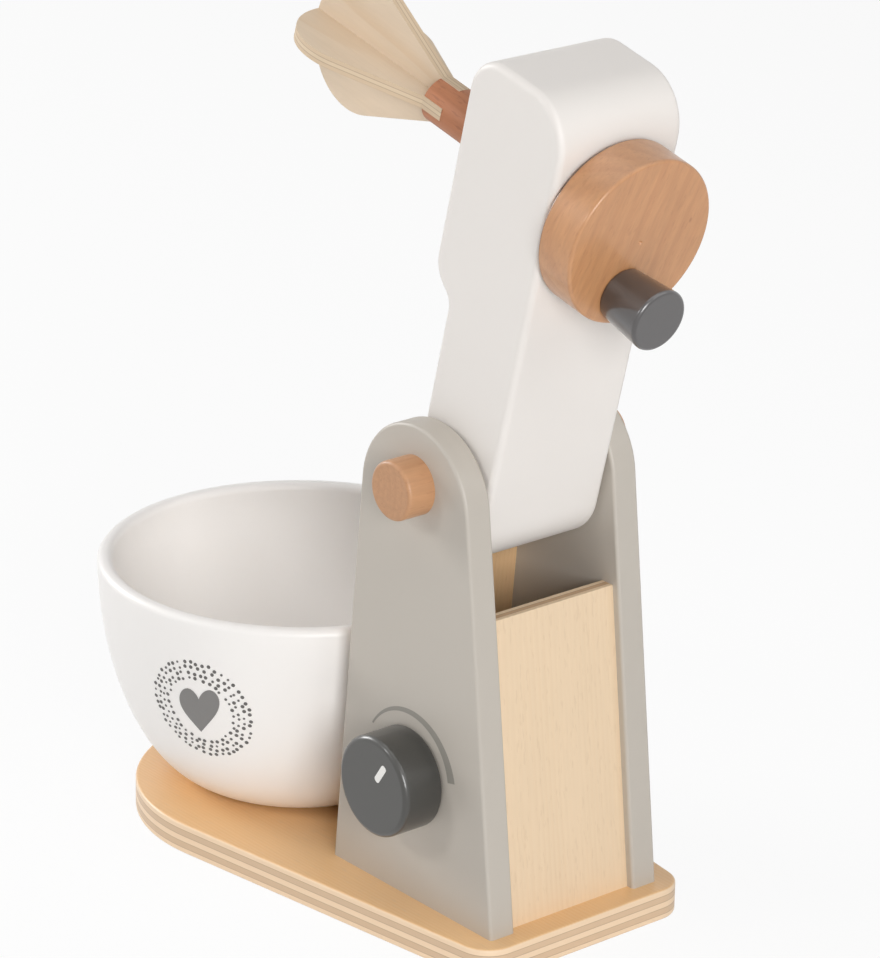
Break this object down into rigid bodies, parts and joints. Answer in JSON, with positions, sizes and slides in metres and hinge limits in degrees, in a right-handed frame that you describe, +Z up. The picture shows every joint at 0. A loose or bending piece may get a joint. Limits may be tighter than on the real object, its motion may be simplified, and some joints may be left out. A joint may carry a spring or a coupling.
{
  "type": "toy stand mixer",
  "caption": "Wooden toy stand mixer with a tilting head, a crank wheel that spins the whisk, a lift-off bowl and a speed dial.",
  "frame": {"origin": "middle of the base board's underside", "axes": "+Z up, -Y towards the bowl, +X towards the side with the speed dial"},
  "size_m": [0.1656, 0.297, 0.3562],
  "materials": {
    "base_ply": "clear-lacquered birch plywood, plies at the edge",
    "panel_paint": "satin grey-beige paint on wood",
    "board_ply": "clear-lacquered birch plywood",
    "beech": "oiled beech",
    "wheel_beech": "lacquered beech",
    "hub_beech": "red beech",
    "blade_ply": "bare birch plywood",
    "head_paint": "satin white paint on wood",
    "grip_paint": "glossy dark grey paint on wood",
    "dial_paint": "glossy dark grey paint on wood",
    "bowl_lacquer": "satin white lacquer on turned wood",
    "screw_steel": "zinc-plated steel",
    "washer_steel": "zinc-plated steel",
    "washer_fibre": "dark fibre"
  },
  "bodies": {
    "frame": {"base_board": "base_ply", "side_panel_right": "panel_paint", "side_panel_left": "panel_paint", "front_panel": "board_ply", "rear_panel": "board_ply", "front_panel_dowels": "beech", "rear_panel_dowels": "beech", "base_screws": "screw_steel", "pivot_axle": "beech", "pivot_cap_right": "beech", "pivot_cap_left": "beech", "dial_washer": "washer_steel"},
    "head": {"head_block": "head_paint", "crank_washer": "washer_fibre"},
    "crank": {"crank_wheel": "wheel_beech", "drive_shaft": "beech", "crank_grip": "grip_paint", "grip_pin": "beech", "whisk_hub": "hub_beech", "whisk_blade_a": "blade_ply", "whisk_blade_b": "blade_ply"},
    "dial": {"dial_knob": "dial_paint", "dial_screw": "screw_steel"},
    "bowl": {"bowl": "bowl_lacquer"}
  },
  "joints": [
    {"name": "head_tilt", "type": "hinge", "parent": "frame", "child": "head", "pos_m": [0, 0.0622, 0.1843], "axis": [-1, 0, 0], "range_deg": [-103.57, 0]},
    {"name": "crank_spin", "type": "hinge", "parent": "head", "child": "crank", "pos_m": [0, 0.09044, 0.30134], "axis": [0, 0.9721, -0.2346], "continuous": true},
    {"name": "dial_turn", "type": "hinge", "parent": "frame", "child": "dial", "pos_m": [0.0425, 0.0622, 0.0646], "axis": [1, 0, 0], "range_deg": [-45, 95]},
    {"name": "bowl_lift", "type": "slide", "parent": "frame", "child": "bowl", "axis": [0, 0, 1], "range_m": [0, 0.012]}
  ]
}
